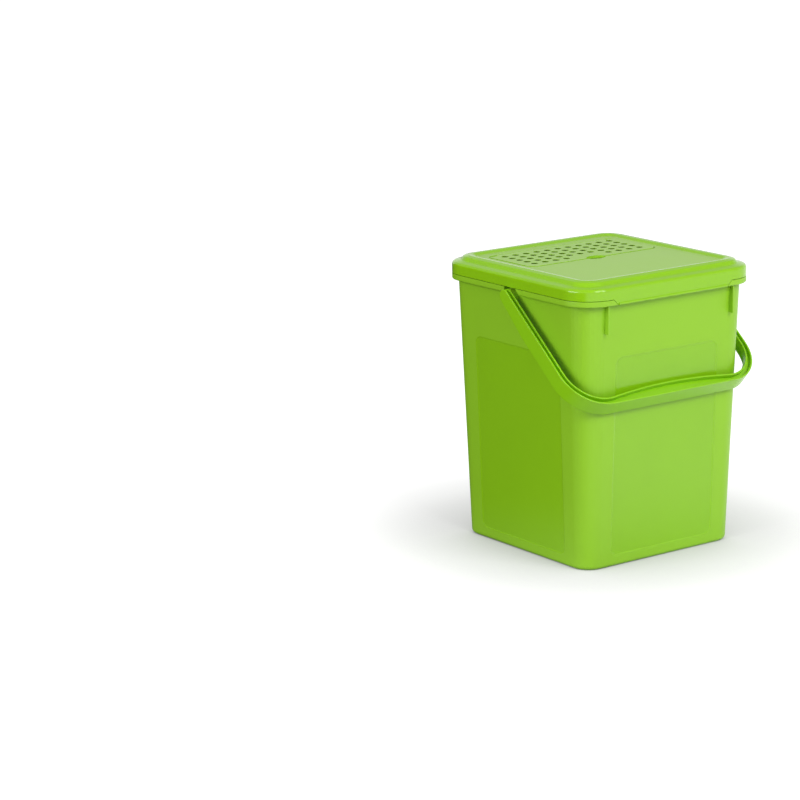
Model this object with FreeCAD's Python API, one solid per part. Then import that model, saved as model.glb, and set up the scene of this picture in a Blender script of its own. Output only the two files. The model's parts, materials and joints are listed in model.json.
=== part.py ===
import FreeCAD, Part
import math
import os

from FreeCAD import Vector

# A kitchen compost bin: a tapered square bucket with a swinging bail handle, a lid hinged at the back,
# and a perforated hatch in the lid over a carbon filter. Millimetres, +Z up, front towards -Y,
# origin on the floor under the middle of the bucket.

# bucket
seam_z = 260.2            # height of the seam between the bucket's rim and the lid
rim_half = 102.3          # half the outer width of the wall where it meets the rim
taper = 9.4               # how much each wall draws in from the rim to the floor
rim_corner = 24.4         # radius of the wall's upright corners at the rim
base_corner = 18.5        # the same at the floor
wall = 2.2
floor = 2.5
base_round = 4.0          # rounding of the outer bottom edge
floor_round = 3.0         # rounding inside, round the floor
foot_width = 8.0          # flat ring that the bucket stands on
foot_lift = 1.2           # hollow inside that ring
overhang = 6.4            # the rim stands out this far from the wall
band_height = 5.6
band_wall = 2.0
lip_height = 4.0          # upstand inside the lid
panel_depth = 0.6         # shallow panel on each side
panel_half = 63.2         # half the panel's width, the same at top and bottom
panel_bottom = 10.6
panel_top_gap = 51.5      # from the panel's top edge up to the rim
panel_corner = 6.0
rib_offset = 77.0         # gussets under the front of the rim
rib_thickness = 1.6
rib_length = 27.0

# lid
seam_gap = 0.3
lid_wall = 2.0
ledge_inset = 8.6         # plain ledge round the raised top
ledge_height = 12.6
ledge_fall = 1.6          # the ledge slopes outwards by this much
riser_run = 2.4
crest_inset = 19.0
crest_height = 17.0
crest_fall = 0.8          # the crest's outer edge lies this much lower
shoulder_round = 3.2
riser_foot_round = 1.5
riser_top_round = 2.4
crest_round = 2.0
panel_inset = 23.5        # flat top panel inside the crest
panel_height = 15.0
lip_half = 72.5           # lifting lip on the front, half its width at the seam
lip_bead = 1.0            # rolled lower edge of that lip
guide_gap = 1.9           # between the bucket's upstand and the guide rib inside it
guide_wall = 1.6
guide_lift = 1.4          # its lower edge above the seam

# filter hatch, tray and pad
hatch_half = 79.0
hatch_front = 3.4
hatch_back = 73.6
hatch_corner = 10.0
hatch_thickness = 2.2
hatch_gap = 0.6
hatch_barrel = 1.7        # radius of the rounded hinge edge
hatch_pin = 1.0
hatch_pin_length = 1.3
hole_radius = 3.5
hole_columns = 11
hole_rows = 5
hole_pitch_x = 13.1
hole_pitch_y = 11.3
hole_front_gap = 12.3     # from the hatch's front edge to the first row
holes_left_out = 3        # middle of the front row, where the finger notch is
notch_half = 11.0
notch_reach = 6.8
scoop_depth = 3.0
seat_width = 3.0          # ledge round the opening that the hatch lies on
seat_thickness = 2.4
tray_wall = 2.0
tray_depth = 12.5
slot_width = 6.0
slot_pitch = 11.5
pad_thickness = 7.0
seat_gap = 0.3            # under the hatch, round the pad and at the ends of pins

# lid hinge
hinge_offset = 50.0
hinge_length = 24.0
knuckle_rise = 8.0        # the knuckle's arm starts this far up the skirt
hinge_back = 2.8          # axis behind the rim
hinge_drop = 3.1          # axis below the seam
knuckle_radius = 3.4
ear_radius = 3.6
ear_thickness = 3.0
hinge_pin = 1.9
hinge_pin_length = 2.8
side_gap = 0.4
pin_clearance = 0.05

# handle
pivot_drop = 7.2          # pivot below the seam
arm_gap = 0.5             # between the lid's side and the arm
arm_thickness = 6.6
arm_wall = 2.0
end_radius = 6.0
strap_below = 10.0        # the outer wall reaches this far below the plane of the pivots
channel_depth = 4.5
web_thickness = 2.0
strap_taper = 45.0        # the arm reaches its full width this far from the pivot
reach = 143.8             # pivot to the outside of the grip
bail_corner = 40.0
grip_width = 12.8         # widest place, in the middle of the grip
grip_bow = 528.0          # radius of the bowed inner edge
handle_pin = 2.5
handle_pin_length = 5.8
boss_radius = 5.6
boss_gap = 0.8
slot_front = 14.0         # gap in the rim at the pivot, its front end slanted like the hanging arm
slot_rear = 8.0
rest_gap = 0.5            # hanging handle to the front wall

base_half = rim_half - taper
rim_z = seam_z - band_height
slope = taper / rim_z
lid_half = rim_half + overhang
lid_corner = rim_corner + overhang
flange_top = seam_z - seam_gap / 2
lid_bottom = seam_z + seam_gap / 2
panel_z = seam_z + panel_height
hatch_axis_y = hatch_back - hatch_barrel
hatch_axis_z = panel_z - hatch_barrel
tray_z = panel_z - tray_depth
pivot_z = seam_z - pivot_drop
arm_inner = lid_half + arm_gap
arm_outer = arm_inner + arm_thickness
boss_face = arm_inner - boss_gap
web_low = end_radius - channel_depth - web_thickness
far = 4 * lid_half        # longer than anything that it cuts
over = 1.0                # cuts run this far past a face


def rounded_rect(half_x, half_y, radius, z=0.0, middle_y=0.0):
    x, y, r = half_x, half_y, radius
    k = r * (1 - math.sqrt(0.5))
    edges = []
    for turn in range(4):
        a, b = (x, y) if turn % 2 == 0 else (y, x)
        arc = Part.Arc(Vector(a, b - r, 0), Vector(a - k, b - k, 0), Vector(a - r, b, 0)).toShape()
        side = Part.makeLine(Vector(a - r, b, 0), Vector(r - a, b, 0))
        for edge in (arc, side):
            edge.rotate(Vector(), Vector(0, 0, 1), 90 * turn)
            edges.append(edge)
    wire = Part.Wire(edges)
    wire.translate(Vector(0, middle_y, z))
    return wire


def prism(wire, height):
    return Part.Face(wire).extrude(Vector(0, 0, height))


def box(x0, x1, y0, y1, z0, z1):
    return Part.makeBox(x1 - x0, y1 - y0, z1 - z0, Vector(x0, y0, z0))


def rod(radius, x0, x1, y, z):
    return Part.makeCylinder(radius, x1 - x0, Vector(x0, y, z), Vector(1, 0, 0))


def fuse(first, *others):
    return first.multiFuse(list(others)).removeSplitter()


def cut(first, *others):
    return first.cut(list(others))


def mirrored(shape):
    return shape.mirror(Vector(), Vector(1, 0, 0))


def bottom_edges(shape, z):
    return [edge for edge in shape.Edges if edge.BoundBox.ZMax < z + 1e-3]


def round_slot(width, length, x, y, z):
    # outline of a slot along Y with round ends
    r = width / 2
    run = length / 2 - r
    edges = []
    for turn in (0, 180):
        side = Part.makeLine(Vector(-r, -run, 0), Vector(-r, run, 0))
        end = Part.Arc(Vector(-r, run, 0), Vector(0, run + r, 0), Vector(r, run, 0)).toShape()
        for edge in (side, end):
            edge.rotate(Vector(), Vector(0, 0, 1), turn)
            edges.append(edge)
    wire = Part.Wire(edges)
    wire.translate(Vector(x, y, z))
    return wire


def rounded_path(points, radii):
    # open line through the points, its inner corners rounded
    edges = []
    start = points[0]
    for i in range(1, len(points) - 1):
        before = (points[i - 1] - points[i]).normalize()
        after = (points[i + 1] - points[i]).normalize()
        half = before.getAngle(after) / 2
        setback = radii[i - 1] / math.tan(half)
        a = points[i] + before * setback
        b = points[i] + after * setback
        middle = (before + after).normalize()
        nearest = points[i] + middle * (radii[i - 1] / math.sin(half) - radii[i - 1])
        edges.append(Part.makeLine(start, a))
        edges.append(Part.Arc(a, nearest, b).toShape())
        start = b
    edges.append(Part.makeLine(start, points[-1]))
    return Part.Wire(edges)


def wall_at(z):
    return base_half + slope * z


def corner_at(z):
    return base_corner + (rim_corner - base_corner) * z / rim_z


def wall_ring(inset, z):
    half = wall_at(z) - inset
    return rounded_rect(half, half, corner_at(z) - inset, z)


def side_panel():
    # shallow panel on the front wall, laid out flat and then set on the wall's slope
    tilt = math.atan(slope)
    top = rim_z - panel_top_gap
    corners = [Vector(-panel_half, panel_bottom, 0), Vector(panel_half, panel_bottom, 0),
               Vector(panel_half, top, 0), Vector(-panel_half, top, 0)]
    start = (corners[0] + corners[1]) / 2
    outline = rounded_path([start] + corners[1:] + corners[:1] + [start], [panel_corner] * 4)
    plate = prism(outline, 2 * panel_depth)
    plate.translate(Vector(0, 0, -panel_depth))
    plate.rotate(Vector(), Vector(1, 0, 0), 90 + math.degrees(tilt))
    plate.translate(Vector(0, -base_half, 0))
    return plate


def make_bucket():
    lip_z = flange_top + lip_height
    outside = Part.makeLoft([wall_ring(0, 0), wall_ring(0, lip_z)], True, True)
    outside = outside.makeFillet(base_round, bottom_edges(outside, 0))
    floor_z = foot_lift + floor
    inside = Part.makeLoft([wall_ring(wall, floor_z), wall_ring(wall, lip_z + over)], True, True)
    inside = inside.makeFillet(floor_round, bottom_edges(inside, floor_z))

    # rim: a flat flange with a down-turned band, open underneath
    rim = prism(rounded_rect(lid_half, lid_half, lid_corner, rim_z), flange_top - rim_z)
    rim = rim.makeFillet(band_wall / 2, bottom_edges(rim, rim_z))
    under_half = lid_half - band_wall
    under = prism(rounded_rect(under_half, under_half, lid_corner - band_wall, rim_z - over),
                  flange_top - band_wall - rim_z + over)
    rim = cut(rim, under)

    # the front of the band makes way for the lid's lifting lip, with 45 degree ends
    high = lip_half + side_gap
    low = high - band_height
    front_y = -lid_half - 2 * lip_bead
    trapezoid = Part.makePolygon([Vector(-high, front_y, flange_top), Vector(high, front_y, flange_top),
                                  Vector(low, front_y, rim_z), Vector(-low, front_y, rim_z),
                                  Vector(-high, front_y, flange_top)])
    front = Part.Face(trapezoid).extrude(Vector(0, 2 * lip_bead + band_wall + side_gap, 0))

    # gaps in the rim for the handle's ends and the lid's knuckles
    slot_x = wall_at(seam_z)
    slot_low = rim_z - over
    slot_high = flange_top + over
    slot_lean = slot_high - slot_low
    end_slot = Part.makePolygon([Vector(slot_x, -slot_front - over, slot_low),
                                 Vector(slot_x, slot_rear, slot_low),
                                 Vector(slot_x, slot_rear, slot_high),
                                 Vector(slot_x, slot_lean - slot_front - over, slot_high),
                                 Vector(slot_x, -slot_front - over, slot_low)])
    end_slot = Part.Face(end_slot).extrude(Vector(far, 0, 0))
    knuckle_half = hinge_length / 2 + side_gap
    knuckle_slot = box(hinge_offset - knuckle_half, hinge_offset + knuckle_half,
                       lid_half - band_wall - side_gap, far, rim_z - over, flange_top + over)
    rim = cut(rim, front, end_slot, mirrored(end_slot), knuckle_slot, mirrored(knuckle_slot))

    rib = box(rib_offset - rib_thickness / 2, rib_offset + rib_thickness / 2,
              band_wall - lid_half, -base_half, rim_z - rib_length, flange_top - band_wall)

    # bosses for the handle's pins
    boss = rod(boss_radius, wall_at(rim_z) - wall, boss_face, 0, pivot_z)
    bore = rod(handle_pin + pin_clearance, boss_face - handle_pin_length, far, 0, pivot_z)

    # ears for the lid's hinge pins
    ears = []
    axis_y = lid_half + hinge_back
    axis_z = seam_z - hinge_drop
    for side in (-1, 1):
        for end in (-1, 1):
            middle = side * hinge_offset + end * (hinge_length / 2 + side_gap + ear_thickness / 2)
            x0 = middle - ear_thickness / 2
            web = Part.makePolygon([Vector(x0, lid_half - band_wall, rim_z),
                                    Vector(x0, axis_y, axis_z - ear_radius),
                                    Vector(x0, axis_y, axis_z + ear_radius),
                                    Vector(x0, lid_half - band_wall, flange_top - seam_gap),
                                    Vector(x0, lid_half - band_wall, rim_z)])
            ear = Part.Face(web).extrude(Vector(ear_thickness, 0, 0))
            ears.append(ear.fuse(rod(ear_radius, x0, x0 + ear_thickness, axis_y, axis_z)))
    ear_bores = rod(hinge_pin + pin_clearance, -far, far, axis_y, axis_z)

    bucket = fuse(outside, rim, rib, mirrored(rib), boss, mirrored(boss))
    bucket = cut(bucket, inside)
    bucket = fuse(bucket, *[ear.cut(ear_bores) for ear in ears])
    hollow_half = base_half - base_round - foot_width
    hollow = prism(rounded_rect(hollow_half, hollow_half, base_corner - base_round, -over), foot_lift + over)
    panels = []
    for turn in range(4):
        panel = side_panel()
        panel.rotate(Vector(), Vector(0, 0, 1), 90 * turn)
        panels.append(panel)
    return cut(bucket, hollow, bore, mirrored(bore), *panels)


def lid_line():
    # outside of the lid in section, from the skirt's lower edge to the flat panel
    def at(inset, height):
        return Vector(lid_half - inset, 0, seam_z + height)

    points = [at(0, seam_gap / 2), at(0, ledge_height - ledge_fall), at(ledge_inset, ledge_height),
              at(ledge_inset + riser_run, crest_height - crest_fall), at(crest_inset, crest_height),
              at(panel_inset, panel_height), at(panel_inset + lid_wall, panel_height)]
    radii = [shoulder_round, riser_foot_round, riser_top_round, crest_round, crest_round]
    return rounded_path(points, radii)


def sweep_round(section):
    # carries a section of the +X side round the lid's rounded square outline
    core = lid_half - lid_corner
    pieces = []
    for turn in range(4):
        side = section.copy()
        side.translate(Vector(0, -core, 0))
        corner = section.copy()
        corner.translate(Vector(0, core, 0))
        for piece in (side.extrude(Vector(0, 2 * core, 0)),
                      corner.revolve(Vector(core, core, 0), Vector(0, 0, 1), 90)):
            piece.rotate(Vector(), Vector(0, 0, 1), 90 * turn)
            pieces.append(piece)
    return pieces


def hatch_outline(grow, z):
    middle = (hatch_front + hatch_back) / 2
    half = (hatch_back - hatch_front) / 2
    return rounded_rect(hatch_half + grow, half + grow, hatch_corner + grow, z, middle)


def hatch_side(y, grow):
    # half width of the hatch's outline at a place on its rounded back corners
    rise = y - (hatch_back - hatch_corner)
    return hatch_half - hatch_corner + math.sqrt((hatch_corner + grow) ** 2 - rise ** 2)


def notch_ellipse(grow, z):
    curve = Part.Ellipse(Vector(0, hatch_front, z), notch_half + grow, notch_reach + grow)
    return Part.Wire(curve.toShape())


def make_lid():
    line = lid_line()
    shell = line.makeOffset2D(lid_wall, 0, True, True)
    inner_half = lid_half - panel_inset - lid_wall / 2
    inner_corner = lid_corner - panel_inset - lid_wall / 2
    panel = prism(rounded_rect(inner_half, inner_half, inner_corner, panel_z - lid_wall), lid_wall)

    # guide rib that drops inside the bucket's upstand, trimmed under the shell
    guide_half = wall_at(flange_top + lip_height) - wall - guide_gap
    guide_corner = corner_at(flange_top + lip_height) - wall - guide_gap
    guide = prism(rounded_rect(guide_half, guide_half, guide_corner, seam_z + guide_lift), panel_height)
    hole = guide_half - guide_wall
    guide = cut(guide, prism(rounded_rect(hole, hole, guide_corner - guide_wall, seam_z), 2 * panel_height))
    ends = [v.Point for v in line.OrderedVertexes]
    floor_line = Part.makePolygon([ends[-1], Vector(ends[-1].x, 0, seam_z),
                                   Vector(ends[0].x, 0, seam_z), ends[0]])
    under = Part.Face(Part.Wire(line.OrderedEdges + floor_line.Edges))
    filled = fuse(*sweep_round(under))
    guide = guide.common(filled)

    # lifting lip with 45 degree ends and a rolled lower edge
    low = lip_half - band_height
    top = lid_bottom + lid_wall
    high = low + top - rim_z
    lip = Part.makePolygon([Vector(low, -lid_half, rim_z), Vector(high, -lid_half, top),
                            Vector(-high, -lid_half, top), Vector(-low, -lid_half, rim_z),
                            Vector(low, -lid_half, rim_z)])
    lip = Part.Face(lip).extrude(Vector(0, lid_wall, 0))
    bead = rod(lip_bead, -low, low, -lid_half, rim_z + lip_bead)

    # knuckles that hang from the back of the skirt, with a pin at each end
    axis_y = lid_half + hinge_back
    axis_z = seam_z - hinge_drop
    skirt_middle = lid_half - lid_wall / 2
    x0 = hinge_offset - hinge_length / 2
    x1 = hinge_offset + hinge_length / 2
    arm = Part.makePolygon([Vector(x0, skirt_middle, seam_z + seam_gap),
                            Vector(x0, skirt_middle, seam_z + knuckle_rise),
                            Vector(x0, axis_y, seam_z + knuckle_rise / 2),
                            Vector(x0, axis_y + knuckle_radius, axis_z),
                            Vector(x0, axis_y - knuckle_radius, axis_z),
                            Vector(x0, skirt_middle, seam_z + seam_gap)])
    knuckle = fuse(Part.Face(arm).extrude(Vector(hinge_length, 0, 0)),
                   rod(knuckle_radius, x0, x1, axis_y, axis_z),
                   rod(hinge_pin, x0 - hinge_pin_length, x1 + hinge_pin_length, axis_y, axis_z))

    # filter tray under the hatch, its ledge, and the dish of the finger scoop
    seat_z = panel_z - hatch_thickness - seat_gap
    seat_low = seat_z - seat_thickness
    frame = prism(hatch_outline(hatch_gap + tray_wall, seat_low), panel_z - seat_low)
    tray_grow = hatch_gap - seat_width
    tray = prism(hatch_outline(tray_grow + tray_wall, tray_z - tray_wall), seat_z - tray_z + tray_wall)
    scoop_z = panel_z - scoop_depth
    dish = Part.makeLoft([notch_ellipse(tray_wall, panel_z),
                          notch_ellipse(tray_wall - scoop_depth, scoop_z - tray_wall)], True, True)
    lid = fuse(panel, *sweep_round(shell), guide, lip, bead, knuckle, mirrored(knuckle), frame, tray)

    seat = prism(hatch_outline(hatch_gap, seat_z), far)
    cavity = prism(hatch_outline(tray_grow, tray_z), far)
    scoop = Part.makeLoft([notch_ellipse(0, panel_z), notch_ellipse(-scoop_depth, scoop_z)], True, True)

    # trough and sockets for the hatch's hinge edge, slots in the tray's floor
    trough_y = hatch_back - 2 * hatch_barrel - hatch_gap
    trough = box(-hatch_half, hatch_half, trough_y, hatch_back + hatch_gap,
                 panel_z - 2 * hatch_barrel - hatch_gap, far)
    trough = trough.common(prism(hatch_outline(hatch_gap, 0), far))
    bore_end = hatch_side(hatch_axis_y, hatch_gap) + hatch_pin_length + seat_gap
    bore = rod(hatch_pin + pin_clearance, -bore_end, bore_end, hatch_axis_y, hatch_axis_z)
    slots = []
    slot_length = hatch_back - hatch_front - 2 * (seat_width + tray_wall + slot_width)
    count = int((hatch_half - seat_width - slot_width) / slot_pitch)
    slot_y = (hatch_front + hatch_back) / 2
    slot_z = tray_z - tray_wall - over
    for i in range(-count, count + 1):
        slot = round_slot(slot_width, slot_length, i * slot_pitch, slot_y, slot_z)
        slots.append(prism(slot, tray_wall + 2 * over))
    lid = fuse(cut(lid, cavity), dish)
    return cut(lid, seat, scoop, trough, bore, *slots)


def make_hatch():
    # the plate ends at the hinge axis, and earlier beside the rounded edge, where its corners swing
    plate = prism(hatch_outline(0, panel_z - hatch_thickness), hatch_thickness)
    barrel_half = hatch_half - hatch_corner - hatch_gap
    behind = box(-far, far, hatch_axis_y, far, 0, far)
    beside = box(barrel_half, far, hatch_axis_y - 2 * hatch_barrel, far, 0, far)
    barrel = rod(hatch_barrel, -barrel_half, barrel_half, hatch_axis_y, hatch_axis_z)
    pin_end = hatch_side(hatch_axis_y, hatch_gap) + hatch_pin_length
    pin = rod(hatch_pin, -pin_end, pin_end, hatch_axis_y, hatch_axis_z)
    hatch = fuse(cut(plate, behind, beside, mirrored(beside)), barrel, pin)
    holes = []
    for row in range(hole_rows):
        for column in range(hole_columns):
            place = column - (hole_columns - 1) / 2
            if row == 0 and abs(place) < holes_left_out / 2:
                continue
            y = hatch_front + hole_front_gap + row * hole_pitch_y
            holes.append(Part.makeCylinder(hole_radius, far, Vector(place * hole_pitch_x, y, 0)))
    notch = prism(notch_ellipse(0, 0), far)
    return cut(hatch, notch, *holes)


def make_pad():
    return prism(hatch_outline(hatch_gap - seat_width - seat_gap, tray_z + seat_gap), pad_thickness)


def bail_curve(half, middle, corner, bow):
    # one edge of the bail, flat: up one arm, across the grip and down the other; bow 0 is a straight grip
    def at(x, s):
        return Vector(x, -s, 0)

    if bow:
        turn_s = middle + bow - math.sqrt((bow + corner) ** 2 - (half - corner) ** 2)
        lean = math.asin((half - corner) / (bow + corner))
    else:
        turn_s = middle - corner
        lean = 0.0
    turn_x = half - corner
    join = at(turn_x - corner * math.sin(lean), turn_s + corner * math.cos(lean))
    swing = (math.pi / 2 + lean) / 2
    bulge = at(turn_x + corner * math.cos(swing), turn_s + corner * math.sin(swing))
    arm = Part.makeLine(at(half, -end_radius), at(half, turn_s))
    bend = Part.Arc(at(half, turn_s), bulge, join).toShape()
    other = Vector(-join.x, join.y, 0)
    grip = Part.Arc(join, at(0, middle), other).toShape() if bow else Part.makeLine(join, other)
    return [arm, bend, grip, mirrored(bend), mirrored(arm)]


def bail_strip(outer, inner, low, high):
    # band between two such edges, closed across the ends of the arms
    ends = []
    for index in (0, -1):
        tips = [max(edges[index].Vertexes, key=lambda v: v.Y).Point for edges in (outer, inner)]
        ends.append(Part.makeLine(*tips))
    wire = Part.Wire(Part.sortEdges(outer + inner + ends)[0])
    wire.translate(Vector(0, 0, low))
    return prism(wire, high - low)


def rest_angle():
    # how far below level the bail hangs when it leans on the front wall
    tilt = math.atan(slope)
    depth = base_half * math.cos(tilt) + pivot_z * math.sin(tilt)
    angles = []
    for s, n in ((reach - grip_width, web_low), (reach - arm_wall, -strap_below)):
        angles.append(tilt + math.atan2(n, s) + math.acos((rest_gap + depth) / math.hypot(s, n)))
    return math.degrees(min(angles))


def make_handle():
    top = end_radius
    outer = bail_curve(arm_outer, reach, bail_corner, 0)
    outer_back = bail_curve(arm_outer - arm_wall, reach - arm_wall, bail_corner - arm_wall, 0)
    inner_corner = bail_corner - arm_thickness
    inner = bail_curve(arm_inner, reach - grip_width, inner_corner, grip_bow)
    inner_front = bail_curve(arm_inner + arm_wall, reach - grip_width + arm_wall,
                             inner_corner + arm_wall, grip_bow - arm_wall)
    strap = bail_strip(outer, outer_back, -strap_below, top)
    web = bail_strip(outer, inner, web_low, web_low + web_thickness)
    rail = bail_strip(inner_front, inner, web_low, top)

    # seen from the side: rounded at the pivot, then widening to the full strap
    far_s = reach + end_radius
    side = [Part.makeLine(Vector(0, 0, top), Vector(0, -far_s, top)),
            Part.makeLine(Vector(0, -far_s, top), Vector(0, -far_s, -strap_below)),
            Part.makeLine(Vector(0, -far_s, -strap_below), Vector(0, -strap_taper, -strap_below)),
            Part.makeLine(Vector(0, -strap_taper, -strap_below), Vector(0, 0, -end_radius)),
            Part.Arc(Vector(0, 0, -end_radius), Vector(0, end_radius, 0), Vector(0, 0, top)).toShape()]
    side = Part.Face(Part.Wire(side)).extrude(Vector(2 * far, 0, 0))
    side.translate(Vector(-far, 0, 0))
    handle = fuse(strap, web, rail).common(side)
    pin_reach = boss_face - handle_pin_length + side_gap
    end = fuse(rod(end_radius, arm_inner, arm_inner + arm_wall, 0, 0),
               rod(handle_pin, pin_reach, arm_inner + arm_wall, 0, 0))
    handle = fuse(handle, end, mirrored(end))
    handle.rotate(Vector(), Vector(1, 0, 0), rest_angle())
    handle.translate(Vector(0, 0, pivot_z))
    return handle


pieces = {"bucket": make_bucket(), "lid": make_lid(), "filter_hatch": make_hatch(),
          "carbon_filter": make_pad(), "handle": make_handle()}
os.makedirs("parts", exist_ok=True)
for name, shape in pieces.items():
    print(name, "valid" if shape.isValid() else "NOT VALID", len(shape.Solids), round(shape.Volume))
    shape.exportStep("parts/" + name + ".step")
print("handle hangs", round(rest_angle(), 3), "degrees below level")
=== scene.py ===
import json
import math

import bmesh
import bpy
from mathutils import Matrix, Vector

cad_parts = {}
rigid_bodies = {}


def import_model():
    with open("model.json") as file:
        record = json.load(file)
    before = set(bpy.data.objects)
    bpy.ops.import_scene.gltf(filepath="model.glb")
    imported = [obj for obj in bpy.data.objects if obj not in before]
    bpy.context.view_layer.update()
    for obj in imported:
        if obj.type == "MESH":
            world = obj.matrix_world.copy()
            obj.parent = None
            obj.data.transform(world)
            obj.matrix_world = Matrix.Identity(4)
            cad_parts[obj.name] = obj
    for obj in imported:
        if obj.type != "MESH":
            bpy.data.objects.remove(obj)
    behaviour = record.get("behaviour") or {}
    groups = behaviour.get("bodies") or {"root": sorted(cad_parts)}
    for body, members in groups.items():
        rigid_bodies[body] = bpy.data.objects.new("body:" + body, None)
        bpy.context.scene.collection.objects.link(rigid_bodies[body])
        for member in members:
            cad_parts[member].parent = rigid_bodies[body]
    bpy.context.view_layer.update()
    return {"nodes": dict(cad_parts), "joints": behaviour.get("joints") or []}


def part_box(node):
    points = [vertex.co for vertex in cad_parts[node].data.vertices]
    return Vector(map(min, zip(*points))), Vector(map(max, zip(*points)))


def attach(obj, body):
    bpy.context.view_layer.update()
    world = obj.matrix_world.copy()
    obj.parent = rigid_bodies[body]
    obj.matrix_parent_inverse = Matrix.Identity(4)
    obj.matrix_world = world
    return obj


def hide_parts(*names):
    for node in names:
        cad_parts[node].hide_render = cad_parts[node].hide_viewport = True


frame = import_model()
scene = bpy.context.scene
mm = 0.001                      # pieces are modelled in millimetres and scaled once, at the end
past = 1.0                      # how far a cutter stands past a surface
clear = 5.0                     # how far it stands past the outside of a piece
beyond = 200.0                  # no piece reaches this far sideways, or twice as high
up = Vector((0, 0, 1))
axisOf = {joint["name"]: Vector(joint["pos_m"]) / mm for joint in frame["joints"]}
print("frame:", ", ".join(sorted(frame["nodes"])))


def nodeBox(node):
    low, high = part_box(node)
    return low / mm, high / mm


# shared modelling steps

def bevel(bm, geom, offset, segments, affect="EDGES"):
    bmesh.ops.bevel(bm, geom=geom, offset=offset, offset_type="OFFSET", segments=segments,
                    profile=0.5, affect=affect, material=-1)


def newFace(bm, old):
    return next(face for face in bm.faces if face not in old)


def plate(bm, low, high, radius, z, segments=10):
    # flat face with rounded corners between two corner points
    old = set(bm.faces)
    middle = Matrix.Translation(((low[0] + high[0]) / 2, (low[1] + high[1]) / 2, z))
    size = Matrix.Diagonal(((high[0] - low[0]) / 2, (high[1] - low[1]) / 2, 1, 1))
    made = bmesh.ops.create_grid(bm, x_segments=1, y_segments=1, size=1, matrix=middle @ size)
    bevel(bm, made["verts"], radius, segments, "VERTICES")
    return newFace(bm, old)


def squarePlate(bm, half, radius, z, segments=10):
    return plate(bm, (-half, -half), (half, half), radius, z, segments)


def extrude(bm, faces, shift):
    made = bmesh.ops.extrude_face_region(bm, geom=faces)
    moved = [item for item in made["geom"] if isinstance(item, bmesh.types.BMFace)]
    bmesh.ops.translate(bm, verts=list({vert for face in moved for vert in face.verts}), vec=shift)
    buried = [face for face in faces if any(len(edge.link_faces) > 2 for edge in face.edges)]
    if buried:
        bmesh.ops.delete(bm, geom=buried, context="FACES")
    return moved


def outward(bm):
    bmesh.ops.recalc_face_normals(bm, faces=bm.faces)


def raised(bm, face, height):
    # extrudes a face straight up; returns its top
    top = extrude(bm, [face], (0, 0, height))[0]
    outward(bm)
    return top


def draw(bm, face, inset, height, way=up):
    # draws a face in and moves it; returns the edges round it
    bmesh.ops.inset_region(bm, faces=[face], thickness=inset, use_even_offset=True, use_boundary=True)
    bmesh.ops.translate(bm, verts=list(face.verts), vec=way * height)
    return list(face.edges)


def joinHoles(bm, low, top):
    # opens a block from one face through to the other
    hole = list(low.edges) + list(top.edges)
    bmesh.ops.delete(bm, geom=[low, top], context="FACES_ONLY")
    bmesh.ops.bridge_loops(bm, edges=hole)
    outward(bm)


def roundOver(bm, edges, radius, segments=3):
    # rounds a run of edges that all turn by the same angle
    bm.normal_update()
    turn = edges[0].calc_face_angle()
    bevel(bm, edges, radius * math.tan(turn / 2), segments)


def softenCorners(bm, radius, segments=2, sharper=50):
    # small round on every outer edge that turns sharply
    bm.normal_update()
    sharp = [edge for edge in bm.edges if edge.is_manifold and edge.is_convex
             and edge.calc_face_angle() > math.radians(sharper)]
    bevel(bm, sharp, radius, segments)


def block(low, high, soften=0.0):
    bm = bmesh.new()
    low, high = Vector(low), Vector(high)
    size = high - low
    bmesh.ops.create_cube(bm, size=1, matrix=Matrix.Translation((low + high) / 2)
                          @ Matrix.Diagonal((size.x, size.y, size.z, 1)))
    if soften:
        softenCorners(bm, soften)
    return bm


def rod(radius, x0, x1, y, z, soften=0.0, segments=32):
    # round bar along X
    bm = bmesh.new()
    place = Matrix.Translation(((x0 + x1) / 2, y, z)) @ Matrix.Rotation(math.pi / 2, 4, "Y")
    bmesh.ops.create_cone(bm, cap_ends=True, segments=segments, radius1=radius, radius2=radius,
                          depth=abs(x1 - x0), matrix=place)
    if soften:
        softenCorners(bm, soften)
    return bm


def prism(points, shift):
    # straight extrusion of a polygon given by its few corners
    bm = bmesh.new()
    face = bm.faces.new([bm.verts.new(point) for point in points])
    extrude(bm, [face], shift)
    outward(bm)
    return bm


def bothSides(bm):
    # a shape and its mirror image across X
    twin = bm.copy()
    bmesh.ops.scale(twin, vec=(-1, 1, 1), verts=twin.verts)
    outward(twin)
    return [bm, twin]


def asObject(bm, name):
    mesh = bpy.data.meshes.new(name)
    bm.to_mesh(mesh)
    bm.free()
    piece = bpy.data.objects.new(name, mesh)
    scene.collection.objects.link(piece)
    return piece


def combine(piece, shapes, operation):
    # one exact boolean of the piece with several shapes at once
    group = bpy.data.collections.new("shapes")
    scene.collection.children.link(group)
    for number, shape in enumerate(shapes):
        tool = asObject(shape, "shape%d" % number)
        scene.collection.objects.unlink(tool)
        group.objects.link(tool)
    change = piece.modifiers.new("combine", "BOOLEAN")
    change.operation = operation
    change.solver = "EXACT"
    change.operand_type = "COLLECTION"
    change.collection = group
    view = bpy.context.evaluated_depsgraph_get()
    mesh = bpy.data.meshes.new_from_object(piece.evaluated_get(view))
    piece.modifiers.clear()
    old = piece.data
    piece.data = mesh
    bpy.data.meshes.remove(old)
    for tool in list(group.objects):
        bpy.data.meshes.remove(tool.data)
    bpy.data.collections.remove(group)


meshForm = {"mergeReaches": (0.002, 0.0005, 0.0001), "evenWeight": 60}


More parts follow.
